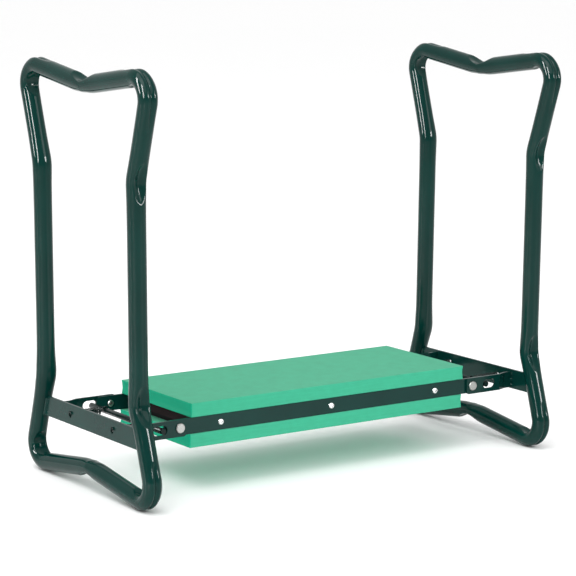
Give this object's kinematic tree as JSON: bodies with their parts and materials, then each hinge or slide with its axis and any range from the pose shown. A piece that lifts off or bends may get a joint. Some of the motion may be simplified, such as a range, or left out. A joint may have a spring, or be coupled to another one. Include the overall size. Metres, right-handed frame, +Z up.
{
  "type": "garden kneeler seat",
  "caption": "Folding garden kneeler seat: bent-tube hoops with hinged arms and sprung latch bars carry a foam-padded seat.",
  "frame": {"origin": "on the floor, under the middle of the seat", "axes": "+X runs along the seat to its right end, +Y points to the back, +Z is up"},
  "size_m": [0.592, 0.288, 0.4913],
  "materials": {
    "powder_coat": "gloss",
    "spring_coat": "satin",
    "foam": "matte",
    "board": "satin",
    "zinc": "satin"
  },
  "bodies": {
    "seat": {"upper_foam_pad": "foam", "lower_foam_pad": "foam", "seat_board": "board", "front_rail": "powder_coat", "back_rail": "powder_coat", "front_rail_screws": "zinc", "back_rail_screws": "zinc", "left_front_rivet": "zinc", "left_back_rivet": "zinc", "right_front_rivet": "zinc", "right_back_rivet": "zinc"},
    "left_leg": {"left_hoop": "powder_coat", "left_cross_plate": "powder_coat", "left_front_arm": "powder_coat", "left_back_arm": "powder_coat", "left_welds": "powder_coat", "left_front_spring": "spring_coat", "left_back_spring": "spring_coat"},
    "right_leg": {"right_hoop": "powder_coat", "right_cross_plate": "powder_coat", "right_front_arm": "powder_coat", "right_back_arm": "powder_coat", "right_welds": "powder_coat", "right_front_spring": "spring_coat", "right_back_spring": "spring_coat"},
    "left_latch": {"left_latch_bar": "powder_coat"},
    "right_latch": {"right_latch_bar": "powder_coat"}
  },
  "joints": [
    {"name": "left_fold", "type": "hinge", "parent": "seat", "child": "left_leg", "pos_m": [-0.2128, 0, 0.0794], "axis": [0, 1, 0], "range_deg": [0, 95]},
    {"name": "right_fold", "type": "hinge", "parent": "seat", "child": "right_leg", "pos_m": [0.2128, 0, 0.0794], "axis": [0, -1, 0], "range_deg": [0, 87]},
    {"name": "left_latch_slide", "type": "slide", "parent": "left_leg", "child": "left_latch", "axis": [-1, 0, 0], "range_m": [0, 0.008], "stiffness_N_per_m": 1200, "springref_m": -0.008, "deforming": ["left_front_spring", "left_back_spring"]},
    {"name": "right_latch_slide", "type": "slide", "parent": "right_leg", "child": "right_latch", "axis": [1, 0, 0], "range_m": [0, 0.008], "stiffness_N_per_m": 1200, "springref_m": -0.008, "deforming": ["right_front_spring", "right_back_spring"]}
  ]
}
